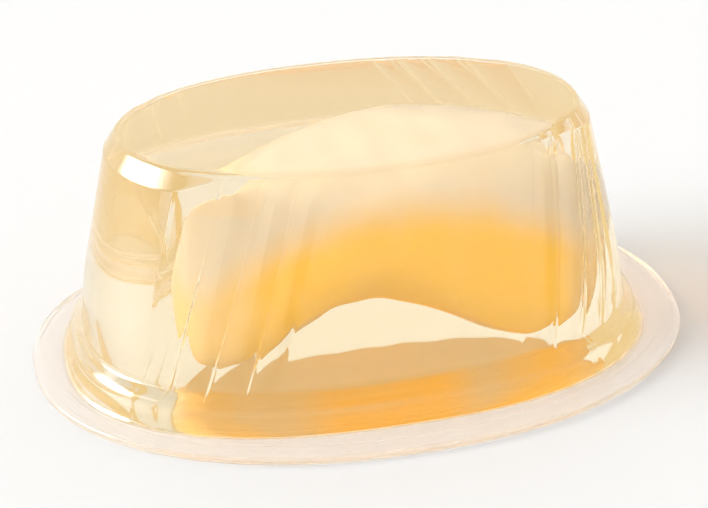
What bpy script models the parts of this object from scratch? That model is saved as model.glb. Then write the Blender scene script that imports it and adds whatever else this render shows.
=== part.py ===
"""Fruit jelly in an oval clear cup, lying upside down on its flange.

The cup is a thin shell with a flat flange, a low collar, a ledge and a drafted wall. Each end of
the wall stands proud of the sides, and leaning pleats cross the four corners between them. The
jelly fills the cup down to the film that seals it.

Lengths are in millimetres until they go into a mesh. The long axis is X and the front is -Y.
"""

import bpy
import numpy as np

MM = 0.001

# Half length, half width and fullness of each outline: 2 is an ellipse, more is squarer.
FLANGE = (52.0, 37.8, 2.18)
COLLAR_FOOT = (45.9, 31.0, 2.45)
LEDGE_EDGE = (43.9, 28.9, 2.68)
WALL_FOOT = (42.6, 27.6, 2.60)
PLATE = (35.7, 21.1, 2.17)
BODY_SHIFT = -0.85            # the body sits off the flange's centre, which leaves a wider rim at +X

# Heights
FILM_THICK = 0.30
GAP = 0.30                    # between pieces that touch
FLANGE_UNDER = FILM_THICK + GAP
FLANGE_TOP = 1.30
COLLAR_TOP = 4.90
LEDGE_Z = 5.66
WALL_FOOT_Z = 6.70
PLATE_Z = 38.20
SIDE_DROP = 0.80              # from the plate to the top of the wall, on the sides
END_DROP = 2.80               # the same on the ends, where a sloping band joins them

# Plastic
WALL = 0.80
FILM_INSET = 0.50             # the film stops a little inside the flange's edge
FILLET = 0.60                 # between flange and collar
FILLET_TUCK = 0.25            # how far the collar leans in just above the fillet
GROOVE_Z = FLANGE_TOP - 0.20  # floor of the shallow groove round the flange

# The flange in section, from under it, round its rim and over its top: inset from the edge, height.
RIM_PROFILE = (
    (0.25, FLANGE_UNDER),
    (0.00, FLANGE_UNDER + 0.25),
    (0.00, FLANGE_TOP - 0.05),
    (0.30, FLANGE_TOP + 0.30),
    (0.90, FLANGE_TOP + 0.30),
    (1.30, GROOVE_Z),
    (3.20, GROOVE_Z),
    (3.50, FLANGE_TOP),
)

# Body
COLLAR_LEAN = 0.55            # the collar's top lies this far between its foot and the ledge
PLATE_EDGE_ROUND = 0.15
PLATE_EDGE_WIDTH = 0.80

# Ends and pleats
END_PROUD = 1.05              # how far the ends stand out from the sides
END_PROUD_RISE = 0.30         # share of the wall's height over which they come out
PLEAT_STEP = 0.42             # height of each pleat's step
PLEAT_HALF_WIDTH = 0.7        # half width of a step, in degrees of the outline's angle
JELLY_PLEAT = 0.60            # share of a pleat's step that shows on the jelly

# Share of a skin's depth that goes down instead of in, where the surface slopes.
COLLAR_DROP = 0.25
LEDGE_DROP = 0.60
BAND_DROP = 0.45
PLATE_TUCK = 0.80             # share of the depth that the plate's edge moves in

# Where each pleat lies, in degrees from the nearer end: at the wall's foot, then at its top.
SLACK_CORNER = {"edge": (37.5, 39.8), "one": (45.0, 53.5), "two": (53.5, 63.5), "three": (61.3, 71.5)}
STEEP_CORNER = {"edge": (33.0, 21.5), "one": (41.0, 23.8), "two": (48.5, 30.0), "three": (56.2, 42.0)}
SLACK_BAND_TIP = 6.0          # degrees past a corner's last pleat where its side begins
STEEP_BAND_TIP = 8.0
STEEP_CAPS = {"one": 0.80, "two": 0.50, "three": 0.15}
END_POINTS = 9
SIDE_POINTS = 8
WALL_RISES = (0.0, 0.15, 0.3, 0.55, 0.8)


def corner_stations(corner, caps, tip):
    """Points across one corner, from the end to the side.

    A row is foot angle, top angle, share of the end's proudness, and pleat relief. Each pleat is a
    pair of points: the one nearer the end stands out and the other is sunk, which makes a step.
    """
    rows = [(*corner["edge"], 1.0, 0.0)]
    for name in ("one", "two", "three"):
        foot, top = corner[name]
        last_foot, last_top, last_cap, _ = rows[-1]
        cap = caps.get(name, 0.0)
        rows.append(((last_foot + foot) / 2, (last_top + top) / 2, (last_cap + cap) / 2, 0.0))
        rows.append((foot - PLEAT_HALF_WIDTH, top - PLEAT_HALF_WIDTH, cap, 0.5))
        rows.append((foot + PLEAT_HALF_WIDTH, top + PLEAT_HALF_WIDTH, cap, -0.5))
    rows.append((corner["three"][0] + tip, corner["three"][1] + tip, 0.0, 0.0))
    return np.array(rows)


def spread(first, last, count):
    """Points evenly spaced between two stations, which aren't repeated."""
    share = np.linspace(0.0, 1.0, count + 2)[1:-1, None]
    rows = first + (last - first) * share
    rows[:, 3] = 0.0
    return rows


def all_stations():
    """Every point round the outline. The second half turn repeats the first."""
    slack = corner_stations(SLACK_CORNER, {}, SLACK_BAND_TIP)
    steep = corner_stations(STEEP_CORNER, STEEP_CAPS, STEEP_BAND_TIP)
    steep_left = steep[::-1] * (-1, -1, 1, 1) + (180, 180, 0, 0)
    steep_right = steep_left - (180, 180, 0, 0)
    end = spread(steep_right[-1], slack[0], END_POINTS)
    side = spread(slack[-1], steep_left[0], SIDE_POINTS)
    half = np.concatenate([end, slack, side, steep_left])
    return np.concatenate([half, half + (180, 180, 0, 0)])


STATIONS = all_stations()
CAP = STATIONS[:, 2]
RELIEF = STATIONS[:, 3]


def superellipse(size, rise):
    """Outline of half length a, half width b and fullness n: |x/a|^n + |y/b|^n = 1."""
    half_length, half_width, fullness = size
    angle = np.radians(STATIONS[:, 0] + (STATIONS[:, 1] - STATIONS[:, 0]) * rise)
    x, y = np.cos(angle), np.sin(angle)
    reach = (np.abs(x) ** fullness + np.abs(y) ** fullness) ** (-1.0 / fullness)
    return np.stack([half_length * x * reach, half_width * y * reach], axis=1)


def inset(outline, amount):
    """Moves each point of an outline inwards, at right angles to it."""
    along = np.roll(outline, -1, axis=0) - np.roll(outline, 1, axis=0)
    outward = np.stack([along[:, 1], -along[:, 0]], axis=1)
    outward /= np.linalg.norm(outward, axis=1, keepdims=True)
    return outline - outward * np.reshape(amount, (-1, 1))


def ring(outline, height, shift=BODY_SHIFT):
    """The outline as points in space, at one height or at a height for each point."""
    points = np.empty((len(outline), 3))
    points[:, :2] = outline
    points[:, 0] += shift
    points[:, 2] = height
    return points


def between(first, second, share):
    """An outline's size between two others."""
    return tuple(a + (b - a) * share for a, b in zip(first, second))


def wall_ring(rise, depth):
    """The wall at a share of its height, with proud ends and pleats, moved in by a depth."""
    out = END_PROUD * np.minimum(rise / END_PROUD_RISE, 1.0) * CAP
    share = JELLY_PLEAT if depth > WALL else 1.0
    out = out + PLEAT_STEP * RELIEF * share
    return inset(superellipse(between(WALL_FOOT, PLATE, rise), rise), depth - out)


def skin(depth, foot_height):
    """Rings of the body's surface, moved in by a depth, from the collar's foot to the plate."""
    collar = superellipse(COLLAR_FOOT, 0.0)
    collar_top = superellipse(between(COLLAR_FOOT, LEDGE_EDGE, COLLAR_LEAN), 0.0)
    ledge = superellipse(LEDGE_EDGE, 0.0)
    rings = [ring(inset(collar, depth), foot_height)]
    if foot_height < FLANGE_TOP:
        rings.append(ring(inset(collar, depth + FILLET_TUCK), FLANGE_TOP + FILLET))
    rings.append(ring(inset(collar_top, depth), COLLAR_TOP - depth * COLLAR_DROP))
    rings.append(ring(inset(ledge, depth), LEDGE_Z - depth * LEDGE_DROP))
    height = PLATE_Z - WALL_FOOT_Z
    for rise in WALL_RISES:
        low = depth * LEDGE_DROP * max(0.0, 1.0 - rise / WALL_RISES[1])
        rings.append(ring(wall_ring(rise, depth), WALL_FOOT_Z + height * rise - low))
    top = wall_ring(1.0 - END_DROP / height, depth) * CAP[:, None]
    top += wall_ring(1.0 - SIDE_DROP / height, depth) * (1.0 - CAP[:, None])
    drop = SIDE_DROP + (END_DROP - SIDE_DROP) * CAP
    rings.append(ring(top, PLATE_Z - drop - depth * BAND_DROP))
    plate = superellipse(PLATE, 1.0)
    tuck = depth * PLATE_TUCK
    rings.append(ring(inset(plate, PLATE_EDGE_ROUND + tuck), PLATE_Z - PLATE_EDGE_ROUND - depth))
    rings.append(ring(inset(plate, PLATE_EDGE_WIDTH + tuck), PLATE_Z - depth))
    return rings


def flange_rings():
    """The flange from its inner edge, under it, round the rim and back to the collar."""
    outline = superellipse(FLANGE, 0.0)
    rings = [ring(inset(outline, amount), height, 0.0) for amount, height in RIM_PROFILE]
    foot = inset(superellipse(COLLAR_FOOT, 0.0), -FILLET)
    return rings + [ring(foot, FLANGE_TOP)]


def loft(name, rings, material):
    """One closed body through the rings, with a flat face across the first and the last."""
    count = len(STATIONS)
    points = np.concatenate(rings) * MM
    here = np.arange(count)
    after = np.roll(here, -1)
    faces = [tuple(int(i) for i in here[::-1])]
    for row in range(len(rings) - 1):
        low, high = row * count, (row + 1) * count
        quads = np.stack([low + here, low + after, high + after, high + here], axis=1)
        faces += [tuple(quad) for quad in quads.tolist()]
    faces.append(tuple(int(i) for i in here + (len(rings) - 1) * count))
    mesh = bpy.data.meshes.new(name)
    mesh.from_pydata(points.tolist(), [], faces)
    mesh.materials.append(material)
    mesh.shade_smooth()
    mesh.set_sharp_from_angle(angle=np.radians(25.0))
    mesh.update()
    piece = bpy.data.objects.new(name, mesh)
    bpy.context.scene.collection.objects.link(piece)
    return piece


def clear_material(name, colour, roughness, ior, transmission):
    """A see-through finish."""
    material = bpy.data.materials.new(name)
    material.use_nodes = True
    shader = material.node_tree.nodes["Principled BSDF"]
    shader.inputs["Base Color"].default_value = (*colour, 1.0)
    shader.inputs["Roughness"].default_value = roughness
    shader.inputs["Metallic"].default_value = 0.0
    shader.inputs["IOR"].default_value = ior
    shader.inputs["Transmission Weight"].default_value = transmission
    return material


def make_film():
    """The flat film that seals the cup, which the whole thing lies on."""
    outline = inset(superellipse(FLANGE, 0.0), FILM_INSET)
    rings = [ring(outline, 0.0, 0.0), ring(outline, FILM_THICK, 0.0)]
    return loft("lid_film", rings, clear_material("film", (0.95, 0.94, 0.92), 0.20, 1.49, 0.8))


def make_cup():
    """The shell: down its inside, out along the flange, and back up its outside."""
    inside = skin(WALL, FLANGE_UNDER)[::-1]
    outside = skin(0.0, FLANGE_TOP + FILLET)
    rings = inside + flange_rings() + outside
    plastic = clear_material("clear_plastic", (0.98, 0.97, 0.95), 0.05, 1.49, 1.0)
    return loft("cup", rings, plastic)


def make_jelly():
    """The jelly: all of the room in the cup, down to the film."""
    rings = skin(WALL + GAP, FILM_THICK + GAP)
    return loft("jelly", rings, clear_material("jelly", (0.93, 0.74, 0.42), 0.05, 1.36, 0.9))


def main():
    for old in list(bpy.data.objects):
        bpy.data.objects.remove(old, do_unlink=True)
    make_film()
    make_cup()
    make_jelly()


main()
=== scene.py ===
"""Looks of a fruit jelly in an oval clear cup, lying upside down on its flange.

Lengths are in millimetres while a shape is worked out, and in metres in the meshes and settings.
"""

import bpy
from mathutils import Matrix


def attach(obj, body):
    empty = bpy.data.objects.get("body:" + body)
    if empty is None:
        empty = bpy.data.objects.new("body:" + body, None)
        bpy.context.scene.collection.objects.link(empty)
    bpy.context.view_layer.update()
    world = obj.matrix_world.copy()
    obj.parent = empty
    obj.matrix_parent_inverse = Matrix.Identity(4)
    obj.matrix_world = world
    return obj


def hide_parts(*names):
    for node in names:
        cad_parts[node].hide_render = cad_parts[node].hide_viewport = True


bl_info = {
    "name": "Fruit Jelly Cup",
    "version": (1, 0, 0),
    "blender": (4, 5, 0),
    "location": "View3D > Sidebar > Jelly",
    "description": "Builds a clear oval cup of amber jelly with a piece of fruit in it",
    "category": "Object",
}

import bpy
import numpy as np
from bpy.props import FloatProperty, FloatVectorProperty, PointerProperty
from mathutils import Matrix, Vector

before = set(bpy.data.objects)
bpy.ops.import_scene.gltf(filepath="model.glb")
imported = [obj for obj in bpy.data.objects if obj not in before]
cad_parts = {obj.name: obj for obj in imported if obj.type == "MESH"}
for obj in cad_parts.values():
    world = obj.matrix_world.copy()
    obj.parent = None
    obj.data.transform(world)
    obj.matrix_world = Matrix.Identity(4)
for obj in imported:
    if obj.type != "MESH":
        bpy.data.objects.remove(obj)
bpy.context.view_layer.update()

MM = 0.001

# Half length, half width and fullness of each outline: 2 is an ellipse, more is squarer.
FLANGE = (52.0, 37.8, 2.18)
COLLAR_FOOT = (45.9, 31.0, 2.45)
LEDGE_EDGE = (43.9, 28.9, 2.68)
WALL_FOOT = (42.6, 27.6, 2.60)
PLATE = (35.7, 21.1, 2.17)
BODY_SHIFT = -0.85

# Heights
FILM_THICK = 0.30
FLANGE_TOP = 1.30
COLLAR_TOP = 4.90
LEDGE_Z = 5.66
WALL_FOOT_Z = 6.70
PLATE_Z = 38.20
WALL_HEIGHT = PLATE_Z - WALL_FOOT_Z
SIDE_DROP = 0.80
END_DROP = 2.80
SUNK = 0.10                 # how far one clear piece reaches into the next, so no air shows

# Body
FILM_INSET = 0.50           # how far the film's edge lies inside the flange's
COLLAR_LEAN = 0.55
FILLET = 0.60
PLATE_EDGE_ROUND = 0.15
PLATE_EDGE_WIDTH = 0.80
END_PROUD = 1.05            # how far the wall bulges past its outline at the two ends
END_PROUD_RISE = 0.30       # share of the height over which that bulge grows

# How much lower an inner surface lies at each bend, for each unit of depth into the wall.
COLLAR_DROP = 0.25
LEDGE_DROP = 0.60
BAND_DROP = 0.45
PLATE_TUCK = 0.80           # how much further in the plate's edge lies
LEDGE_FADE = 0.15           # share of the height over which the ledge's drop ends
BAND_START = 0.90           # share of the height at which the band's drop starts

# Radius of the rounding at each bend of the body
COLLAR_BEND = 0.5
WALL_BEND = 0.5
BAND_BEND = 0.35
PLATE_BEND = 0.3
FILLET_BEND = 0.4
BEND_STEPS = 5
BEND_SHARE = 0.45           # most of a side that a bend's rounding may take up
BEND_HOLD = 1.08            # place of the rings that hold a bend's shape, past its rounding

FLAT_RINGS = (0.985, 0.94, 0.80, 0.55, 0.25)    # size of each ring across a flat face

# Pleats of each kind of corner: foot angle, top angle, share of the end's proudness, groove.
SLACK_CORNER = (
    (37.5, 39.8, 1.00, 0.0),
    (45.0, 53.5, 0.00, 1.3),
    (53.5, 63.5, 0.00, 1.3),
    (61.3, 71.5, 0.00, 1.3),
    (67.3, 77.5, 0.00, 0.0),
)
STEEP_CORNER = (
    (33.0, 21.5, 1.00, 0.0),
    (41.0, 23.8, 0.80, 0.4),
    (48.5, 30.0, 0.50, 0.4),
    (56.2, 42.0, 0.15, 0.6),
    (64.2, 50.0, 0.00, 0.0),
)
GROOVE_COLUMNS = np.linspace(-1.0, 1.0, 13)
CREASE_COLUMNS = np.array([-1.0, 0.0, 1.0])
GROOVE_ANGLE = 1.3          # half width of a groove at its widest, in degrees
CREASE_ANGLE = 0.35
GROOVE_NARROWS = 0.55       # share of the height over which a groove narrows, down from the top
GROOVE_LEAST = 0.30         # width of a groove below that
GROOVE_END = 0.05           # share of the height over which a groove rounds off at its top
GROOVE_BLUNT = 0.04         # keeps a groove's width above nothing at its very top
GROOVE_LOW_DEPTH = 0.35     # share of its depth that a groove keeps low down
FLUTE_END = 0.10            # share of the height over which a flute fades at its top and foot
FACET_COLUMNS = 12
END_COLUMNS = 84
SIDE_COLUMNS = 110

# Levels of the wall's rings, as shares of its height: closer together at the top
WALL_LEVELS = np.concatenate([np.linspace(0.0, 0.88, 23), np.linspace(BAND_START, 1.0, 12)])

# The flange in section: inset from the edge, height, and rounding of the bend there.
RIM_PROFILE = (
    (0.25, FILM_THICK - SUNK, 0.00),
    (0.00, FILM_THICK + 0.45, 0.20),
    (0.00, FLANGE_TOP - 0.05, 0.15),
    (0.30, FLANGE_TOP + 0.12, 0.20),
    (0.90, FLANGE_TOP + 0.12, 0.20),
    (1.30, FLANGE_TOP - 0.08, 0.20),
    (3.20, FLANGE_TOP - 0.08, 0.10),
    (3.50, FLANGE_TOP, 0.10),
)

# The fruit: how high its top, its back and its underside lie, along its length.
FRUIT_TOP = 36.6
FRUIT_TOP_CURVE = 0.0035    # fall of the top towards the ends
FRUIT_TOP_SLANT = 0.8       # how much lower the top lies at its back
FRUIT_REAR = 3.0
FRUIT_REAR_CURVE = 0.006    # rise of the back's foot towards the ends
# Where the flesh turns from its pale top to its deeper front, partly its own orange and partly painted
# shade
FRUIT_TONE_AND_SHADE_ARCH = (33.2, 0.0145, 2.0)               # height, curve and middle
FRUIT_LOW = (17.2, 19.0, -2.5, 19.0, -0.04)     # height, depth, middle, width and slope
FRUIT_LEAST_DEPTH = 2.0     # least depth of its top, from front to back

# Ovals that the corners of the fruit's section follow: middle, half length, half width, fullness.
FRONT_TOP_OVAL = (0.0, 35.0, 19.4, 2.3)
FRONT_LOW_OVAL = (0.0, 39.0, 23.0, 2.5)
BACK_TOP_OVAL = (7.0, 30.0, 27.0, 1.6)
BACK_LOW_OVAL = (1.0, 38.0, 22.5, 2.2)
BACK_TOP_SHIFT = 20.5       # how far each back oval is moved to the front
BACK_LOW_SHIFT = 5.0
SECTION_FULLNESS = 3.4
LEFT_END_FULLNESS = 6.5
RIGHT_END_FULLNESS = 4.0
LONG_WAVE = (0.22, 0.35, 1.0, 0.5)      # soft waves: height, pace along, start and pace sideways
SHORT_WAVE = (0.12, 0.9, 0.6)           # height, pace along and pace upwards
LENGTH_POINTS = 181
SECTION_POINTS = 200

# How the flesh's colour changes, partly its own orange and partly painted light on the top and back and
# painted shade on the front: the amount, the start and the length of each change.
PALE_REAR = (0.85, -9.0, 9.0)
PALE_LEFT = (0.50, 14.0, 13.0)
PALE_RIGHT = (0.55, 25.0, 8.0)
PALE_LEFT_FOOT = (0.80, 5.0, 9.0)
PALE_RIGHT_FOOT = (0.90, 8.0, 9.0)
TONE_AND_SHADE_BELOW_ARCH = (1.0, -1.5, 8.5)
ABOVE_FOOT = (1.0, -0.5, 4.0)

# Where the flesh is a little deeper again, at the top of its left end.
DEEPER_ABOVE = (0.15, 30.0, 1.5)
DEEPER_LEFT = (1.0, 16.0, 5.0)

SHARP_ANGLE = np.radians(35.0)      # edges that bend more than this stay crisp

# Clear plastic, jelly and film
PLASTIC_IOR = 1.49
JELLY_IOR = 1.36
CLEAR_ROUGHNESS = (0.0, 0.003)
CLEAR_BUMP = 0.00001
FLANGE_ROUGHNESS = (0.12, 0.22)
FLANGE_BUMP = 0.00002
FLANGE_PASSES = 0.78        # share of the light that the hazy flange lets through
# A faint painted glow in the flange's colour, which brightens the hazy flange
FLANGE_GLOW = 0.05
FLANGE_MARGIN = 1.2         # where the hazy flange starts outside the collar, in fillets
JELLY_TINT = (0.995, 0.99, 0.98)
FILM_TINT = (0.99, 0.985, 0.98)

# Share of a lamp's light that gets through each surface
CUP_SHADE = (0.78, 0.775, 0.77)
JELLY_SHADE = (0.95, 0.94, 0.92)
FILM_SHADE = (0.98, 0.98, 0.97)

LAST_PASS = 10.5            # light that has met more surfaces than this ends in DEEP_LIGHT
# DEEP_LIGHT is a painted glow that stands in for the light such paths would still gather
DEEP_LIGHT = (0.92, 0.70, 0.34)

# Sockets of a mix of two colours
FIRST_COLOUR, SECOND_COLOUR, MIXED_COLOUR = 6, 7, 2

# Noise: how fine each is, and the middle part of its range that is used.
GRAIN_SCALE = 260.0
RIPPLE_SCALE = 90.0
MOTTLE_SCALE = 140.0
FLOOR_SCALE = 40.0
NOISE_DETAIL = 3.0
NOISE_LOW = 0.3
NOISE_HIGH = 0.7
MOTTLE = 0.06               # how much the flesh's colour varies
FLESH_ROUGHNESS = (0.45, 0.65)
FLOOR_ROUGHNESS = (0.55, 0.65)
FLOOR_SHINE = 0.05

# Stage, in metres
FLOOR_HALF = 3.0
FLOOR_Z = -0.0002
LIT_POINT = (0.0, 0.0, 0.02)
SOFTBOX_SIZE = (0.52, 0.34)
SOFTBOX_PLACE = (-0.51, 0.10, 0.29)
SOFTBOX_EDGE = 0.35         # share of the softbox over which it fades at each edge
TOP_LIGHT_SIZE = (0.5, 0.5)
TOP_LIGHT_PLACE = (-0.05, 0.05, 0.7)

# Distant lights: spread in degrees, and direction from the cup.
SIDE_SUN = (28.0, (-0.90, -0.02, 0.48))
SOFT_SKY = (150.0, (-0.1, 0.1, 1.0))
FRONT_SKY = (110.0, (0.70, -1.0, 0.6))
LOW_SUN = (36.0, (-1.0, 0.0, 0.45))

SURROUND_COLOUR = (1.0, 0.995, 0.985)

# Two directions along an axis, and the surround's strength in each.
SURROUND_ACROSS = (-1.0, 1.0, 1.12, 0.88)
SURROUND_BACK = (-0.6, 0.7, 0.62, 1.12)
SURROUND_UP = (0.5, 1.0, 1.0, 0.6)

# The picture, in pixels, and where the middle of the flange is seen in it.
PICTURE_SIZE = (708.0, 508.0)
FLANGE_SEEN_AT = (359.43, 328.62)
SENSOR_WIDTH = 36.0
NEAR_LIMIT = 0.01


class ColumnPlan:
    """Where each column of points round the cup gets its angle from."""

    def __init__(self):
        self.foot, self.top, self.cap, self.offset, self.groove = [], [], [], [], []
        self.left, self.right, self.share, self.wrap, self.flat = [], [], [], [], []

    def add_knot(self, foot, top, cap, groove):
        """A crease or groove: a bundle of columns close to one leaning line."""
        offsets = GROOVE_COLUMNS if groove else CREASE_COLUMNS
        for offset in offsets:
            self.foot.append(foot)
            self.top.append(top)
            self.cap.append(cap)
            self.offset.append(offset)
            self.groove.append(groove)
            self.left.append(len(self.left))
            self.right.append(len(self.right))
            self.share.append(0.0)
            self.wrap.append(0.0)
            self.flat.append(0.0)
        return len(self.foot) - 1

    def add_run(self, left, right, count, flat, wrap):
        """Columns spaced evenly between two knots."""
        for share in np.linspace(0.0, 1.0, count + 2)[1:-1]:
            self.foot.append(0.0)
            self.top.append(0.0)
            self.cap.append(0.0)
            self.offset.append(0.0)
            self.groove.append(0.0)
            self.left.append(left)
            self.right.append(right)
            self.share.append(share)
            self.wrap.append(wrap)
            self.flat.append(flat)


def knots():
    """Every knot round the cup, from one end round to just before it again."""
    slack = list(SLACK_CORNER)
    steep = [(180 - foot, 180 - top, cap, groove) for foot, top, cap, groove in STEEP_CORNER[::-1]]
    half = slack + steep
    return half + [(foot + 180, top + 180, cap, groove) for foot, top, cap, groove in half]


def plan_columns():
    """The columns in order round the cup, as arrays."""
    rows = knots()
    counts, flats = [], []
    per_half = len(SLACK_CORNER) + len(STEEP_CORNER)
    for index in range(len(rows)):
        place = index % per_half
        if place == len(SLACK_CORNER) - 1:
            counts.append(SIDE_COLUMNS)
            flats.append(0.0)
        elif place == per_half - 1:
            counts.append(END_COLUMNS)
            flats.append(0.0)
        else:
            counts.append(FACET_COLUMNS)
            flats.append(1.0)
    sizes = [len(GROOVE_COLUMNS) if row[3] else len(CREASE_COLUMNS) for row in rows]
    starts = np.concatenate([[0], np.cumsum(np.array(sizes) + counts)])
    plan = ColumnPlan()
    for index, row in enumerate(rows):
        last = plan.add_knot(*row)
        following = int(starts[index + 1]) if index + 1 < len(rows) else 0
        wrap = 360.0 if index + 1 == len(rows) else 0.0
        plan.add_run(last, following, counts[index], flats[index], wrap)
    return {name: np.array(value) for name, value in vars(plan).items()}


COLUMNS = plan_columns()
COUNT = len(COLUMNS["foot"])


def smooth(value):
    """Eases from 0 to 1: 3t^2 - 2t^3."""
    value = np.clip(value, 0.0, 1.0)
    return value * value * (3.0 - 2.0 * value)


def from_knots(values, wrap=0.0):
    """Fills the columns between knots with an even change from one knot to the next."""
    plan = COLUMNS
    left, right = values[plan["left"]], values[plan["right"]]
    return left + (right + wrap - left) * plan["share"]


CAP = from_knots(COLUMNS["cap"])
WALL_TOP_RISE = 1.0 - (SIDE_DROP + (END_DROP - SIDE_DROP) * CAP) / WALL_HEIGHT


def groove_width(rise):
    """Share of a groove's full width: it narrows downwards and rounds off at its top."""
    from_top = np.clip((WALL_TOP_RISE - rise) / GROOVE_NARROWS, 0.0, 1.0)
    narrow = 1.0 - (1.0 - GROOVE_LEAST) * from_top
    end = np.clip(1.0 - (WALL_TOP_RISE - rise) / GROOVE_END, 0.0, 1.0)
    return narrow * np.sqrt(np.maximum(1.0 - end * end, GROOVE_BLUNT))


def angles(rise):
    """Angle of each column at a share of the wall's height: foot + (top - foot) * rise."""
    plan = COLUMNS
    line = plan["foot"] + (plan["top"] - plan["foot"]) * rise
    width = np.where(plan["groove"] > 0, GROOVE_ANGLE * groove_width(rise), CREASE_ANGLE)
    return from_knots(line + plan["offset"] * width, plan["wrap"])


def between(first, second, share):
    """Half length, half width and fullness between two outlines, for each column."""
    return tuple(a + (b - a) * share for a, b in zip(first, second))


def outline(size, rise, inset, flute=0.0):
    """The superellipse |x/a|^n + |y/b|^n = 1 by columns, moved in at right angles to itself.

    Between the pleats it is a chord, hollowed by the flute's depth times 4t(1 - t).
    """
    half_length, half_width, fullness = size
    angle = np.radians(angles(rise))
    x, y = np.cos(angle), np.sin(angle)
    reach = (np.abs(x) ** fullness + np.abs(y) ** fullness) ** (-1.0 / fullness)
    x, y = x * reach, y * reach
    out_x = np.sign(x) * np.abs(x) ** (fullness - 1.0) / half_length
    out_y = np.sign(y) * np.abs(y) ** (fullness - 1.0) / half_width
    length = np.hypot(out_x, out_y)
    points = np.stack([
        half_length * x - out_x / length * inset,
        half_width * y - out_y / length * inset,
    ], axis=1)
    plan = COLUMNS
    share = plan["share"][:, None]
    chord = points[plan["left"]] * (1.0 - share) + points[plan["right"]] * share
    hollow = (4.0 * plan["share"] * (1.0 - plan["share"]) * flute / length)[:, None]
    chord = chord - np.stack([out_x, out_y], axis=1) * hollow
    return np.where(plan["flat"][:, None] > 0, chord, points)


def ring(points, height, shift=BODY_SHIFT):
    """An outline as points in space."""
    placed = np.empty((COUNT, 3))
    placed[:, :2] = points
    placed[:, 0] += shift
    placed[:, 2] = height
    return placed


def pleat_relief(rise, step, groove):
    """How far the wall stands out at the pleats: a small step down across a shallow groove."""
    plan = COLUMNS
    offset = plan["offset"]
    fade = np.clip((WALL_TOP_RISE - rise) / GROOVE_END, 0.0, 1.0)
    side = (0.5 - smooth((offset + 1.0) / 2.0)) * plan["groove"] * STEP_SIDE
    dent = (1.0 - offset * offset) ** 2 * plan["groove"]
    upper = np.clip(1.0 - (WALL_TOP_RISE - rise) / GROOVE_NARROWS, 0.0, 1.0)
    depth = groove * (GROOVE_LOW_DEPTH + (1.0 - GROOVE_LOW_DEPTH) * upper)
    return (step * side - depth * dent) * fade


def step_side():
    """Which way each pleat steps down: always away from the nearer end."""
    side = np.ones(COUNT)
    side[np.mod(COLUMNS["foot"], 180.0) > 90.0] = -1.0
    return side


STEP_SIDE = step_side()


def wall_ring(level, depth, cup):
    """The wall at a share of the way up to its top edge, moved in by a depth."""
    rise = WALL_TOP_RISE * level
    proud = np.clip(rise / END_PROUD_RISE, 0.0, 1.0)
    out = END_PROUD * (1.0 - (1.0 - proud) ** 2) * CAP
    out = out + pleat_relief(rise, cup.pleat_step / MM, cup.pleat_groove / MM)
    low = LEDGE_DROP * np.clip(1.0 - rise / LEDGE_FADE, 0.0, 1.0)
    low = low + BAND_DROP * np.clip((level - BAND_START) / (1.0 - BAND_START), 0.0, 1.0)
    fade = np.clip((WALL_TOP_RISE - rise) / FLUTE_END, 0.0, 1.0) * np.clip(rise / FLUTE_END, 0.0, 1.0)
    points = outline(between(WALL_FOOT, PLATE, rise), rise, depth - out, cup.flute / MM * fade)
    return ring(points, WALL_FOOT_Z + WALL_HEIGHT * rise - depth * low)


def skin(depth, foot_height, cup):
    """Rings of the body from the collar's foot to the plate, with the rounding of each bend."""
    collar_top = between(COLLAR_FOOT, LEDGE_EDGE, COLLAR_LEAN)
    rows = [
        (ring(outline(COLLAR_FOOT, 0.0, depth), foot_height), 0.0),
        (ring(outline(collar_top, 0.0, depth), COLLAR_TOP - depth * COLLAR_DROP), COLLAR_BEND),
        (ring(outline(LEDGE_EDGE, 0.0, depth), LEDGE_Z - depth * LEDGE_DROP), COLLAR_BEND),
    ]
    for level in WALL_LEVELS:
        bend = WALL_BEND if level in (0.0, 1.0) else 0.0
        rows.append((wall_ring(level, depth, cup), bend))
    tuck = depth * PLATE_TUCK
    edge = outline(PLATE, 1.0, PLATE_EDGE_ROUND + tuck)
    rows.append((ring(edge, PLATE_Z - PLATE_EDGE_ROUND - depth), BAND_BEND))
    rows.append((ring(outline(PLATE, 1.0, PLATE_EDGE_WIDTH + tuck), PLATE_Z - depth), PLATE_BEND))
    return rows


def rounded(rows):
    """Rounds each bend of a profile: a quadratic curve from one side of the ring to the other.

    A ring just past each end of the curve keeps the faces beside it flat.
    """
    rings = []
    for index, (here, radius) in enumerate(rows):
        if radius == 0.0 or index in (0, len(rows) - 1):
            rings.append(here)
            continue
        before, after = rows[index - 1][0] - here, rows[index + 1][0] - here
        reach_before = np.linalg.norm(before, axis=1, keepdims=True)
        reach_after = np.linalg.norm(after, axis=1, keepdims=True)
        share_before = np.minimum(radius / np.maximum(reach_before, 1e-6), BEND_SHARE)
        share_after = np.minimum(radius / np.maximum(reach_after, 1e-6), BEND_SHARE)
        start, end = here + before * share_before, here + after * share_after
        rings.append(here + before * share_before * BEND_HOLD)
        for t in np.linspace(0.0, 1.0, BEND_STEPS):
            rings.append(start * (1 - t) ** 2 + here * 2 * t * (1 - t) + end * t ** 2)
        rings.append(here + after * share_after * BEND_HOLD)
    return rings


def closing_rings(edge):
    """Rings across a flat face, from its edge in to near its middle."""
    middle = edge.mean(axis=0)
    return [middle + (edge - middle) * share for share in FLAT_RINGS]


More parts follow.
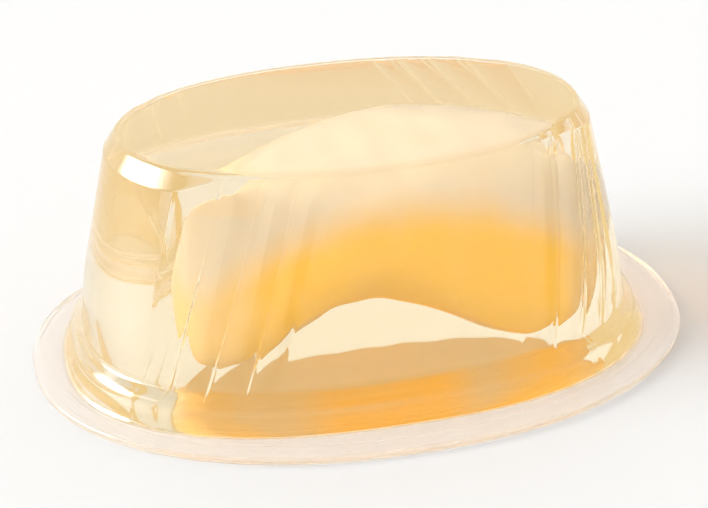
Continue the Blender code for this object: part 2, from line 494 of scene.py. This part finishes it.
def closed_mesh(name, rings):
    """A closed surface through rings of points, with a point at the middle of each end."""
    count = len(rings[0])
    points = np.concatenate(rings + [rings[0].mean(axis=0)[None], rings[-1].mean(axis=0)[None]]) * MM
    here = np.arange(count)
    after = np.roll(here, -1)
    rows = np.arange(len(rings) - 1)[:, None] * count
    quads = np.stack([rows + here, rows + after, rows + count + after, rows + count + here], axis=2)
    quads = quads.reshape(-1, 4)
    first, last = len(points) - 2, len(points) - 1
    top = (len(rings) - 1) * count
    fan = np.concatenate([
        np.stack([np.full(count, first), after, here], axis=1),
        np.stack([np.full(count, last), top + here, top + after], axis=1),
    ])
    if signed_volume(points, quads, fan) < 0:
        quads, fan = quads[:, ::-1], fan[:, ::-1]
    mesh = bpy.data.meshes.new(name)
    mesh.vertices.add(len(points))
    mesh.vertices.foreach_set("co", points.astype(np.float32).ravel())
    mesh.loops.add(quads.size + fan.size)
    mesh.loops.foreach_set("vertex_index", np.concatenate([quads.ravel(), fan.ravel()]).astype(np.int32))
    mesh.polygons.add(len(quads) + len(fan))
    starts = np.concatenate([np.arange(len(quads)) * 4, quads.size + np.arange(len(fan)) * 3])
    mesh.polygons.foreach_set("loop_start", starts.astype(np.int32))
    mesh.update(calc_edges=True)
    mesh.validate()
    mesh.shade_smooth()
    mesh.set_sharp_from_angle(angle=SHARP_ANGLE)
    piece = bpy.data.objects.new(name, mesh)
    bpy.context.scene.collection.objects.link(piece)
    return piece


def signed_volume(points, quads, fan):
    """Volume inside the faces: positive where they look outwards."""
    corners = np.concatenate([quads[:, [0, 1, 2]], quads[:, [0, 2, 3]], fan])
    a, b, c = (points[corners[:, i]] for i in range(3))
    return float(np.einsum("ij,ij->i", a, np.cross(b, c)).sum()) / 6.0


def new_material(name):
    """An empty material with a Principled shader, its node tree and its output."""
    material = bpy.data.materials.new(name)
    material.use_nodes = True
    tree = material.node_tree
    return material, tree, tree.nodes["Principled BSDF"], tree.nodes["Material Output"]


def add(tree, kind, **values):
    """A node with some of its properties set."""
    node = tree.nodes.new(kind)
    for name, value in values.items():
        setattr(node, name, value)
    return node


def noise(tree, scale):
    """Noise over the piece's own coordinates."""
    coordinates = add(tree, "ShaderNodeTexCoord")
    texture = add(tree, "ShaderNodeTexNoise")
    texture.inputs["Scale"].default_value = scale
    texture.inputs["Detail"].default_value = NOISE_DETAIL
    tree.links.new(coordinates.outputs["Object"], texture.inputs["Vector"])
    return texture.outputs["Fac"]


def ranged(tree, source, low, high, to_low, to_high):
    """Maps a value from one range to another."""
    node = add(tree, "ShaderNodeMapRange")
    for name, value in (("From Min", low), ("From Max", high), ("To Min", to_low), ("To Max", to_high)):
        node.inputs[name].default_value = value
    tree.links.new(source, node.inputs["Value"])
    return node.outputs["Result"]


def multiplied(tree, first, second):
    """The product of two values."""
    product = add(tree, "ShaderNodeMath", operation="MULTIPLY")
    tree.links.new(first, product.inputs[0])
    tree.links.new(second, product.inputs[1])
    return product.outputs[0]


def unevenness_group():
    """Noise over the piece's own coordinates: fine as a roughness, and coarser as a height."""
    if "fine_unevenness" in bpy.data.node_groups:
        return bpy.data.node_groups["fine_unevenness"]
    group = bpy.data.node_groups.new("fine_unevenness", "ShaderNodeTree")
    for name in ("Grain Scale", "Least Roughness", "Most Roughness", "Ripple Scale"):
        group.interface.new_socket(name=name, in_out="INPUT", socket_type="NodeSocketFloat")
    for name in ("Roughness", "Height"):
        group.interface.new_socket(name=name, in_out="OUTPUT", socket_type="NodeSocketFloat")
    given, result = add(group, "NodeGroupInput"), add(group, "NodeGroupOutput")
    coordinates = add(group, "ShaderNodeTexCoord")
    textures = {}
    for name in ("Grain Scale", "Ripple Scale"):
        textures[name] = add(group, "ShaderNodeTexNoise")
        textures[name].inputs["Detail"].default_value = NOISE_DETAIL
        group.links.new(coordinates.outputs["Object"], textures[name].inputs["Vector"])
        group.links.new(given.outputs[name], textures[name].inputs["Scale"])
    spread = add(group, "ShaderNodeMapRange")
    spread.inputs["From Min"].default_value = NOISE_LOW
    spread.inputs["From Max"].default_value = NOISE_HIGH
    group.links.new(textures["Grain Scale"].outputs["Fac"], spread.inputs["Value"])
    group.links.new(given.outputs["Least Roughness"], spread.inputs["To Min"])
    group.links.new(given.outputs["Most Roughness"], spread.inputs["To Max"])
    group.links.new(spread.outputs["Result"], result.inputs["Roughness"])
    group.links.new(textures["Ripple Scale"].outputs["Fac"], result.inputs["Height"])
    return group


def place_unevenness(tree, shader, roughness, bump):
    """The shared unevenness, with a material's own values, on its shader."""
    uneven = add(tree, "ShaderNodeGroup", node_tree=unevenness_group())
    uneven.inputs["Grain Scale"].default_value = GRAIN_SCALE
    uneven.inputs["Least Roughness"].default_value = roughness[0]
    uneven.inputs["Most Roughness"].default_value = roughness[1]
    uneven.inputs["Ripple Scale"].default_value = RIPPLE_SCALE
    tree.links.new(uneven.outputs["Roughness"], shader.inputs["Roughness"])
    relief = add(tree, "ShaderNodeBump")
    relief.inputs["Strength"].default_value = 1.0
    relief.inputs["Distance"].default_value = bump
    tree.links.new(uneven.outputs["Height"], relief.inputs["Height"])
    tree.links.new(relief.outputs["Normal"], shader.inputs["Normal"])


def mixed(tree, share, first, second):
    """A shader between two others."""
    mix = add(tree, "ShaderNodeMixShader")
    tree.links.new(share, mix.inputs[0])
    tree.links.new(first, mix.inputs[1])
    tree.links.new(second, mix.inputs[2])
    return mix.outputs[0]


def pass_shadow_rays(tree, surface, output, tint):
    """Shadow rays pass straight through with a tint, because lamps don't reach through bent glass."""
    clear = add(tree, "ShaderNodeBsdfTransparent")
    clear.inputs["Color"].default_value = (*tint, 1.0)
    path = add(tree, "ShaderNodeLightPath")
    both = mixed(tree, path.outputs["Is Shadow Ray"], surface, clear.outputs[0])
    tree.links.new(both, output.inputs["Surface"])


def end_deep_paths(tree, shader):
    """Light that has been thrown to and fro inside more often than LAST_PASS ends in a painted glow of
    pale amber.
    """
    path = add(tree, "ShaderNodeLightPath")
    deep = add(tree, "ShaderNodeMath", operation="GREATER_THAN")
    tree.links.new(path.outputs["Ray Depth"], deep.inputs[0])
    deep.inputs[1].default_value = LAST_PASS
    glow = add(tree, "ShaderNodeEmission")
    glow.inputs["Color"].default_value = (*DEEP_LIGHT, 1.0)
    return mixed(tree, deep.outputs[0], shader.outputs[0], glow.outputs[0])


def clear_material(name, colour, ior, tint, roughness=CLEAR_ROUGHNESS, bump=CLEAR_BUMP):
    """Glossy clear plastic or jelly with faint unevenness."""
    material, tree, shader, output = new_material(name)
    shader.inputs["Base Color"].default_value = (*colour, 1.0)
    shader.inputs["IOR"].default_value = ior
    shader.inputs["Transmission Weight"].default_value = 1.0
    place_unevenness(tree, shader, roughness, bump)
    pass_shadow_rays(tree, end_deep_paths(tree, shader), output, tint)
    return material, tree, output


def flange_material(cup):
    """The plastic of the flange, which is hazier than the wall, with a faint painted glow in its own
    colour.
    """
    material, tree, _ = clear_material(
        "flange_plastic", cup.haze_and_glow, PLASTIC_IOR, CUP_SHADE, FLANGE_ROUGHNESS, FLANGE_BUMP)
    shader = tree.nodes["Principled BSDF"]
    shader.inputs["Transmission Weight"].default_value = FLANGE_PASSES
    shader.inputs["Emission Color"].default_value = (*cup.haze_and_glow, 1.0)
    shader.inputs["Emission Strength"].default_value = FLANGE_GLOW
    return material


def finish_piece(piece, material, slot, *nodes):
    """Gives a piece its material, hangs it under the root body, and hides any parts that it takes the
    place of.
    """
    piece.data.materials.append(material)
    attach(piece, "root")
    if nodes:
        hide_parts(*nodes)


class JELLY_PG_cup(bpy.types.PropertyGroup):
    """Sizes and finish of the clear cup."""

    wall: FloatProperty(
        name="Wall", description="Thickness of the plastic", default=0.0008, unit="LENGTH")
    pleat_step: FloatProperty(
        name="Pleat step", description="Height of the step at each pleat", default=0.00020, unit="LENGTH")
    flute: FloatProperty(
        name="Flute", description="Depth of the hollows between pleats", default=0.00035, unit="LENGTH")
    pleat_groove: FloatProperty(
        name="Pleat groove", description="Depth of the groove at each pleat",
        default=0.00012, unit="LENGTH")
    colour: FloatVectorProperty(
        name="Plastic", description="Colour of the clear plastic",
        subtype="COLOR", default=(0.99, 0.985, 0.98))
    # Colour of the hazy flange, and also of its faint painted glow.
    haze_and_glow: FloatVectorProperty(
        name="Flange", description="Colour of the hazier flange",
        subtype="COLOR", default=(0.97, 0.925, 0.885))


class JELLY_PG_jelly(bpy.types.PropertyGroup):
    """The jelly's colour and how it takes up light."""

    overlap: FloatProperty(
        name="Overlap", description="How far the jelly reaches into the wall",
        default=0.00025, unit="LENGTH")
    colour: FloatVectorProperty(
        name="Jelly", description="Colour that the jelly passes",
        subtype="COLOR", default=(0.965, 0.79, 0.25))
    density: FloatProperty(
        name="Density", description="How fast the jelly takes up light", default=10.0)


class JELLY_PG_fruit(bpy.types.PropertyGroup):
    """Size, place and colours of the piece of fruit."""

    half_length: FloatProperty(
        name="Half length", description="From the middle to a tip", default=0.0316, unit="LENGTH")
    centre: FloatProperty(
        name="Centre", description="How far the middle lies to the right", default=0.0034, unit="LENGTH")
    # The pale colour is partly painted light on the fruit's top, and the deep colour is partly painted
    # shade on its front.
    pale: FloatVectorProperty(
        name="Pale flesh", description="Colour on top", subtype="COLOR", default=(0.93, 0.75, 0.49))
    deep: FloatVectorProperty(
        name="Deep flesh", description="Colour low on the front",
        subtype="COLOR", default=(0.93, 0.515, 0.035))
    # Painted glow: an emission in the flesh's colours that stands in for light coming through it.
    glow: FloatProperty(
        name="Glow", description="Light that comes through the deep flesh", default=0.38)
    least_glow: FloatProperty(
        name="Least glow", description="Share of that light in the pale flesh", default=0.30)
    through: FloatVectorProperty(
        name="Light passed", description="Colour of light that the flesh lets through each side",
        subtype="COLOR", default=(0.95, 0.72, 0.35))


class JELLY_PG_stage(bpy.types.PropertyGroup):
    """Camera, light and floor."""

    distance: FloatProperty(
        name="Distance", description="From the camera to the middle of the flange",
        default=0.300, unit="LENGTH")
    elevation: FloatProperty(
        name="Elevation", description="Height angle of the camera",
        default=np.radians(27.62), unit="ROTATION")
    azimuth: FloatProperty(
        name="Azimuth", description="Angle of the camera round the cup",
        default=np.radians(-12.45), unit="ROTATION")
    roll: FloatProperty(
        name="Roll", description="Tilt of the camera", default=np.radians(-1.39), unit="ROTATION")
    lens: FloatProperty(name="Lens", description="Focal length in millimetres", default=94.68)
    floor: FloatVectorProperty(
        name="Floor", description="Colour of the floor", subtype="COLOR", default=(0.64, 0.637, 0.632))
    sky: FloatProperty(name="Sky", description="Strength of the even surround", default=0.99)
    soft: FloatProperty(
        name="Soft light", description="Strength of the wide light overhead", default=0.25)
    front: FloatProperty(
        name="Front light", description="Strength of the wide light in front", default=0.55)
    side: FloatProperty(name="Side sun", description="Strength of the sun at the left", default=0.92)
    low: FloatProperty(
        name="Low sun", description="Strength of the sun that lights only the floor", default=3.7)
    key: FloatProperty(name="Key", description="Power of the light at the left", default=20.0)
    fill: FloatProperty(name="Fill", description="Power of the light from above", default=0.38)


class JELLY_OT_stage(bpy.types.Operator):
    """Makes the floor, the lights and the camera"""

    bl_idname = "jelly.stage"
    bl_label = "Stage"

    def execute(self, context):
        settings = context.scene.jelly_stage
        make_floor(settings)
        make_lights(settings)
        make_camera(settings)
        set_view(context.scene)
        return {"FINISHED"}


class JELLY_OT_cup(bpy.types.Operator):
    """Makes the clear cup"""

    bl_idname = "jelly.cup"
    bl_label = "Cup"

    def execute(self, context):
        cup = context.scene.jelly_cup
        inner = rounded(skin(cup.wall / MM, FILM_THICK - SUNK, cup))
        outer = rounded(flange_rows() + skin(0.0, FLANGE_TOP + FILLET, cup))
        rings = closing_rings(inner[-1])[::-1] + inner[::-1] + outer + closing_rings(outer[-1])
        piece = closed_mesh("clear_cup", rings)
        material, _, _ = clear_material("cup_plastic", cup.colour, PLASTIC_IOR, CUP_SHADE)
        finish_piece(piece, material, "clear_plastic", "cup")
        piece.data.materials.append(flange_material(cup))
        use_second_material_outside(piece.data, COLLAR_FOOT, FILLET * FLANGE_MARGIN)
        return {"FINISHED"}


class JELLY_OT_jelly(bpy.types.Operator):
    """Makes the jelly, which reaches just into the wall"""

    bl_idname = "jelly.jelly"
    bl_label = "Jelly"

    def execute(self, context):
        cup, jelly = context.scene.jelly_cup, context.scene.jelly_jelly
        depth = (cup.wall - jelly.overlap) / MM
        surface = rounded(skin(depth, FILM_THICK - SUNK, cup))
        rings = closing_rings(surface[0])[::-1] + surface + closing_rings(surface[-1])
        piece = closed_mesh("amber_jelly", rings)
        material, tree, output = clear_material("jelly_body", JELLY_TINT, JELLY_IOR, JELLY_SHADE)
        absorb = add(tree, "ShaderNodeVolumeAbsorption")
        absorb.inputs["Color"].default_value = (*jelly.colour, 1.0)
        absorb.inputs["Density"].default_value = jelly.density
        tree.links.new(absorb.outputs[0], output.inputs["Volume"])
        finish_piece(piece, material, "jelly", "jelly")
        return {"FINISHED"}


class JELLY_OT_film(bpy.types.Operator):
    """Makes the sealing film"""

    bl_idname = "jelly.film"
    bl_label = "Film"

    def execute(self, context):
        rows = [ring(outline(FLANGE, 0.0, FILM_INSET), height, 0.0) for height in (0.0, FILM_THICK)]
        rings = closing_rings(rows[0])[::-1] + rows + closing_rings(rows[1])
        piece = closed_mesh("clear_film", rings)
        material, _, _ = clear_material("film_plastic", FILM_TINT, PLASTIC_IOR, FILM_SHADE)
        finish_piece(piece, material, "film", "lid_film")
        return {"FINISHED"}


class JELLY_OT_fruit(bpy.types.Operator):
    """Makes the piece of fruit in the jelly"""

    bl_idname = "jelly.fruit"
    bl_label = "Fruit"

    def execute(self, context):
        fruit = context.scene.jelly_fruit
        piece = make_fruit(fruit)
        finish_piece(piece, fruit_material(fruit), "jelly")
        return {"FINISHED"}


def use_second_material_outside(mesh, size, margin):
    """Gives every face whose middle lies outside an outline the mesh's second material."""
    half_length, half_width, fullness = size
    middles = np.empty(len(mesh.polygons) * 3, dtype=np.float32)
    mesh.polygons.foreach_get("center", middles)
    x, y, _ = (middles.reshape(-1, 3) / MM).T
    along = np.abs((x - BODY_SHIFT) / (half_length + margin)) ** fullness
    beyond = along + np.abs(y / (half_width + margin)) ** fullness > 1.0
    mesh.polygons.foreach_set("material_index", beyond.astype(np.int32))


def flange_rows():
    """The flange from under the collar out to its rim and back over its top to the fillet."""
    rows = []
    for inset, height, bend in RIM_PROFILE:
        rows.append((ring(outline(FLANGE, 0.0, inset), height, 0.0), bend))
    rows.append((ring(outline(COLLAR_FOOT, 0.0, -FILLET), FLANGE_TOP), FILLET_BEND))
    return rows


def arch_line(x):
    """Height at which the flesh turns from its pale top, partly painted light, to its deep front, partly
    painted shade: an arch along the fruit.
    """
    height, curve, middle = FRUIT_TONE_AND_SHADE_ARCH
    return height - curve * (x - middle) ** 2


def underside(x):
    """Height of the fruit's underside along its front: a bell-shaped arch between two feet."""
    height, depth, middle, width, slope = FRUIT_LOW
    return height - depth * (1.0 - np.exp(-((x - middle) / width) ** 2)) - slope * x


def oval_reach(x, oval):
    """How far an oval outline reaches sideways at a place along its length."""
    middle, half_length, half_width, fullness = oval
    share = np.clip(np.abs(x - middle) / half_length, 0.0, 0.999)
    return half_width * (1.0 - share ** fullness) ** (1.0 / fullness)


def fruit_corners(x):
    """The section's four corners along the fruit: front top, back top, back low and front low."""
    front_top = -oval_reach(x, FRONT_TOP_OVAL)
    front_low = -oval_reach(x, FRONT_LOW_OVAL)
    back_top = np.maximum(oval_reach(x, BACK_TOP_OVAL) - BACK_TOP_SHIFT, front_top + FRUIT_LEAST_DEPTH)
    back_low = oval_reach(x, BACK_LOW_OVAL) - BACK_LOW_SHIFT
    top = FRUIT_TOP - FRUIT_TOP_CURVE * x * x
    slanted = top - FRUIT_TOP_SLANT
    rear = FRUIT_REAR + FRUIT_REAR_CURVE * x * x
    return (front_top, top), (back_top, slanted), (back_low, rear), (front_low, underside(x))


def soft_waves(x, y, z):
    """Low waves over the fruit."""
    height, along, start, sideways = LONG_WAVE
    waves = height * np.sin(x * along + start) * np.sin(y * sideways)
    height, along, upwards = SHORT_WAVE
    return waves + height * np.sin(x * along + z * upwards)


def make_fruit(fruit):
    """The fruit: a thick dome that fills most of the cup, hollowed from below into an arch.

    u goes from tip to tip and v round the section. A squarish oval of v is spread between the
    section's four corners, and shrinks to nothing at the tips by (1 - |u|^n)^(1/n).
    """
    along = np.sin(np.linspace(-np.pi / 2, np.pi / 2, LENGTH_POINTS))[1:-1]
    turn = np.linspace(0.0, 2 * np.pi, SECTION_POINTS + 1)[:-1]
    u, v = np.meshgrid(along, turn, indexing="ij")
    power = np.where(u < 0.0, LEFT_END_FULLNESS, RIGHT_END_FULLNESS)
    blunt = (1.0 - np.abs(u) ** power) ** (1.0 / power)
    c, s = np.cos(v), np.sin(v)
    reach = (np.abs(c) ** SECTION_FULLNESS + np.abs(s) ** SECTION_FULLNESS) ** (-1 / SECTION_FULLNESS)
    across, rise = (1.0 + c * reach) / 2, (1.0 + s * reach) / 2
    x = fruit.centre / MM + fruit.half_length / MM * u
    front_top, back_top, back_low, front_low = fruit_corners(x)
    y, z = (
        rise * ((1 - across) * front_top[i] + across * back_top[i])
        + (1 - rise) * ((1 - across) * front_low[i] + across * back_low[i])
        for i in range(2)
    )
    middle_y = (front_top[0] + back_top[0] + back_low[0] + front_low[0]) / 4
    middle_z = (front_top[1] + back_top[1] + back_low[1] + front_low[1]) / 4
    y = middle_y + (y - middle_y) * blunt
    z = middle_z + (z - middle_z) * blunt
    z = z + soft_waves(x, y, z) * blunt
    rings = [np.stack([x[i], y[i], z[i]], axis=1) for i in range(len(along))]
    piece = closed_mesh("fruit_piece", rings)
    paint_tone_and_shade(piece.data)
    return piece


def fading(value, change):
    """Grows from nothing to an amount: change holds the amount, the start and the length."""
    amount, start, length = change
    return amount * smooth((value - start) / length)


def paint_tone_and_shade(mesh):
    """Stores how deep the flesh's colour is at each point, partly its own orange and partly painted
    shade: most low on the front, under the arch, and least on the lit top and back.
    """
    points = np.empty(len(mesh.vertices) * 3, dtype=np.float32)
    mesh.vertices.foreach_get("co", points)
    x, y, z = (points.reshape(-1, 3) / MM).T
    below = fading(arch_line(x) - z, TONE_AND_SHADE_BELOW_ARCH)
    body = (1.0 - fading(y, PALE_REAR)) * (1.0 - fading(-x, PALE_LEFT)) * (1.0 - fading(x, PALE_RIGHT))
    at_foot = 1.0 - fading(z - underside(x), ABOVE_FOOT)
    feet = (1.0 - at_foot * fading(-x, PALE_LEFT_FOOT)) * (1.0 - at_foot * fading(x, PALE_RIGHT_FOOT))
    corner = fading(z, DEEPER_ABOVE) * fading(-x, DEEPER_LEFT)
    # Painted shade as well as the flesh's own colour: deepest on the front below the arch, palest on the
    # lit top and back
    tone_and_shade = below * body * feet + corner
    store = mesh.attributes.new("tone_and_shade", "FLOAT", "POINT")
    store.data.foreach_set("value", tone_and_shade.astype(np.float32))


def fruit_material(fruit):
    """Flesh that turns from a pale top, partly painted light, to a deep orange front, partly painted
    shade, with soft streaks, and a painted glow for light that comes through.
    """
    material, tree, shader, output = new_material("fruit_flesh")
    tone_and_shade = add(tree, "ShaderNodeAttribute", attribute_name="tone_and_shade")
    mottle = noise(tree, MOTTLE_SCALE)
    shift = add(tree, "ShaderNodeMath", operation="MULTIPLY_ADD")
    tree.links.new(ranged(tree, mottle, NOISE_LOW, NOISE_HIGH, -1.0, 1.0), shift.inputs[0])
    shift.inputs[1].default_value = MOTTLE
    tree.links.new(tone_and_shade.outputs["Fac"], shift.inputs[2])
    for socket, least in (("Base Color", 1.0), ("Emission Color", fruit.least_glow)):
        mix = add(tree, "ShaderNodeMix", data_type="RGBA")
        tree.links.new(shift.outputs[0], mix.inputs[0])
        mix.inputs[FIRST_COLOUR].default_value = (*(part * least for part in fruit.pale), 1.0)
        mix.inputs[SECOND_COLOUR].default_value = (*fruit.deep, 1.0)
        tree.links.new(mix.outputs[MIXED_COLOUR], shader.inputs[socket])
    # Painted glow: emission that stands in for light coming through the flesh
    shader.inputs["Emission Strength"].default_value = fruit.glow
    shader.inputs["Specular IOR Level"].default_value = 0.0
    roughness = ranged(tree, mottle, NOISE_LOW, NOISE_HIGH, *FLESH_ROUGHNESS)
    tree.links.new(roughness, shader.inputs["Roughness"])
    pass_shadow_rays(tree, shader.outputs[0], output, fruit.through)
    return material


def make_floor(settings):
    """A wide floor, just under the film."""
    mesh = bpy.data.meshes.new("floor")
    sides = ((-1, -1), (1, -1), (1, 1), (-1, 1))
    mesh.from_pydata([(x * FLOOR_HALF, y * FLOOR_HALF, FLOOR_Z) for x, y in sides], [], [(0, 1, 2, 3)])
    floor = bpy.data.objects.new("floor", mesh)
    bpy.context.scene.collection.objects.link(floor)
    material, tree, shader, _ = new_material("pale_floor")
    shader.inputs["Base Color"].default_value = (*settings.floor, 1.0)
    shader.inputs["Specular IOR Level"].default_value = FLOOR_SHINE
    roughness = ranged(tree, noise(tree, FLOOR_SCALE), NOISE_LOW, NOISE_HIGH, *FLOOR_ROUGHNESS)
    tree.links.new(roughness, shader.inputs["Roughness"])
    mesh.materials.append(material)
    floor_only = bpy.data.collections.new("floor_only")
    floor_only.objects.link(floor)


def area_light(name, power, size, place):
    """A rectangular lamp that faces the cup."""
    lamp = bpy.data.lights.new(name, "AREA")
    lamp.shape = "RECTANGLE"
    lamp.size, lamp.size_y = size
    lamp.energy = power
    holder = bpy.data.objects.new(name, lamp)
    bpy.context.scene.collection.objects.link(holder)
    holder.location = place
    holder.rotation_euler = (Vector(LIT_POINT) - Vector(place)).to_track_quat("-Z", "Y").to_euler()
    return holder


def make_lights(settings):
    """A softbox, a lamp above, three wide suns, a low sun for the floor alone, and a surround."""
    softbox = area_light("softbox", settings.key, SOFTBOX_SIZE, SOFTBOX_PLACE)
    softbox.visible_diffuse = False
    softbox.visible_transmission = False
    show_as_highlight_only(softbox.data)
    top = area_light("top_light", settings.fill, TOP_LIGHT_SIZE, TOP_LIGHT_PLACE)
    top.visible_glossy = False
    top.data.cycles.use_multiple_importance_sampling = False
    sun_light("side_sun", settings.side, *SIDE_SUN)
    sun_light("soft_sky", settings.soft, *SOFT_SKY)
    sun_light("front_sky", settings.front, *FRONT_SKY)
    low_sun = sun_light("low_sun", settings.low, *LOW_SUN)
    low_sun.light_linking.receiver_collection = bpy.data.collections["floor_only"]
    make_surround(settings)


def show_as_highlight_only(lamp):
    """Ends the lamp's light behind the first matt surface, so that it shows only as a highlight.

    It also fades towards its edges.
    """
    lamp.use_nodes = True
    tree = lamp.node_tree
    path = add(tree, "ShaderNodeLightPath")
    before_matt = add(tree, "ShaderNodeMath", operation="LESS_THAN")
    before_matt.inputs[1].default_value = 0.5
    tree.links.new(path.outputs["Diffuse Depth"], before_matt.inputs[0])
    place = add(tree, "ShaderNodeNewGeometry")
    split = add(tree, "ShaderNodeSeparateXYZ")
    tree.links.new(place.outputs["Parametric"], split.inputs[0])
    strength = before_matt.outputs[0]
    for axis in ("X", "Y"):
        from_edge = add(tree, "ShaderNodeMath", operation="PINGPONG")
        from_edge.inputs[1].default_value = 0.5
        tree.links.new(split.outputs[axis], from_edge.inputs[0])
        fade = ranged(tree, from_edge.outputs[0], 0.0, SOFTBOX_EDGE, 0.0, 1.0)
        strength = multiplied(tree, strength, fade)
    tree.links.new(strength, tree.nodes["Emission"].inputs["Strength"])


def sun_light(name, strength, spread, direction):
    """A distant soft light: spread is in degrees, and direction points from the cup to the light."""
    lamp = bpy.data.lights.new(name, "SUN")
    lamp.energy = strength
    lamp.angle = np.radians(spread)
    lamp.cycles.use_multiple_importance_sampling = False
    holder = bpy.data.objects.new(name, lamp)
    bpy.context.scene.collection.objects.link(holder)
    holder.rotation_euler = Vector(direction).to_track_quat("Z", "Y").to_euler()
    return holder


def make_surround(settings):
    """A white surround, a little brighter at the left and the back, and darker overhead."""
    world = bpy.data.worlds.new("surround")
    bpy.context.scene.world = world
    world.use_nodes = True
    world.cycles.sampling_method = "NONE"
    tree = world.node_tree
    background = tree.nodes["Background"]
    coordinates = add(tree, "ShaderNodeTexCoord")
    split = add(tree, "ShaderNodeSeparateXYZ")
    tree.links.new(coordinates.outputs["Generated"], split.inputs[0])
    front, rear, front_share, rear_share = SURROUND_BACK
    across = ranged(tree, split.outputs["X"], *SURROUND_ACROSS)
    depth = ranged(
        tree, split.outputs["Y"], front, rear, settings.sky * front_share, settings.sky * rear_share)
    height = ranged(tree, split.outputs["Z"], *SURROUND_UP)
    strength = multiplied(tree, multiplied(tree, across, depth), height)
    tree.links.new(strength, background.inputs["Strength"])
    background.inputs["Color"].default_value = (*SURROUND_COLOUR, 1.0)


def make_camera(settings):
    """Looks at the cup from the front, above and a little left, with the flange placed in the frame."""
    data = bpy.data.cameras.new("camera")
    data.sensor_width = SENSOR_WIDTH
    data.lens = settings.lens
    data.clip_start = NEAR_LIMIT
    width, height = PICTURE_SIZE
    focal = settings.lens / SENSOR_WIDTH * width
    azimuth, elevation, roll = settings.azimuth, settings.elevation, settings.roll
    level_reach = np.cos(elevation)
    back = Vector((np.sin(azimuth) * level_reach, -np.cos(azimuth) * level_reach, np.sin(elevation)))
    level = (-back).cross(Vector((0.0, 0.0, 1.0))).normalized()
    rise = level.cross(-back)
    right = level * np.cos(roll) + rise * np.sin(roll)
    up = rise * np.cos(roll) - level * np.sin(roll)
    across = (FLANGE_SEEN_AT[0] - width / 2) / focal
    down = (FLANGE_SEEN_AT[1] - height / 2) / focal
    place = (back - right * across + up * down) * settings.distance
    camera = bpy.data.objects.new("camera", data)
    bpy.context.scene.collection.objects.link(camera)
    rows = [(right[i], up[i], back[i], place[i]) for i in range(3)]
    camera.matrix_world = Matrix(rows + [(0.0, 0.0, 0.0, 1.0)])
    bpy.context.scene.camera = camera


def set_view(scene):
    """Plain view colours, and enough bounces for clear layers inside each other."""
    scene.view_settings.view_transform = "Standard"
    scene.cycles.max_bounces = 12
    scene.cycles.transmission_bounces = 12
    scene.cycles.glossy_bounces = 10
    scene.cycles.diffuse_bounces = 2
    scene.cycles.transparent_max_bounces = 24


class JELLY_PT_panel(bpy.types.Panel):
    """Lists the steps and their settings."""

    bl_label = "Fruit Jelly"
    bl_idname = "JELLY_PT_panel"
    bl_space_type = "VIEW_3D"
    bl_region_type = "UI"
    bl_category = "Jelly"

    def draw(self, context):
        layout = self.layout
        for operator in OPERATORS:
            layout.operator(operator.bl_idname)
        for group_name, group_type in GROUPS:
            box = layout.box()
            for name in group_type.__annotations__:
                box.prop(getattr(context.scene, group_name), name)


GROUPS = (
    ("jelly_cup", JELLY_PG_cup),
    ("jelly_jelly", JELLY_PG_jelly),
    ("jelly_fruit", JELLY_PG_fruit),
    ("jelly_stage", JELLY_PG_stage),
)
OPERATORS = (JELLY_OT_stage, JELLY_OT_cup, JELLY_OT_jelly, JELLY_OT_film, JELLY_OT_fruit)


def register():
    for name, group in GROUPS:
        bpy.utils.register_class(group)
        setattr(bpy.types.Scene, name, PointerProperty(type=group))
    for operator in OPERATORS:
        bpy.utils.register_class(operator)
    bpy.utils.register_class(JELLY_PT_panel)


def unregister():
    bpy.utils.unregister_class(JELLY_PT_panel)
    for operator in reversed(OPERATORS):
        bpy.utils.unregister_class(operator)
    for name, group in reversed(GROUPS):
        delattr(bpy.types.Scene, name)
        bpy.utils.unregister_class(group)


def main():
    register()
    bpy.ops.jelly.stage()
    bpy.ops.jelly.film()
    bpy.ops.jelly.cup()
    bpy.ops.jelly.jelly()
    bpy.ops.jelly.fruit()


if __name__ == "__main__":
    main()
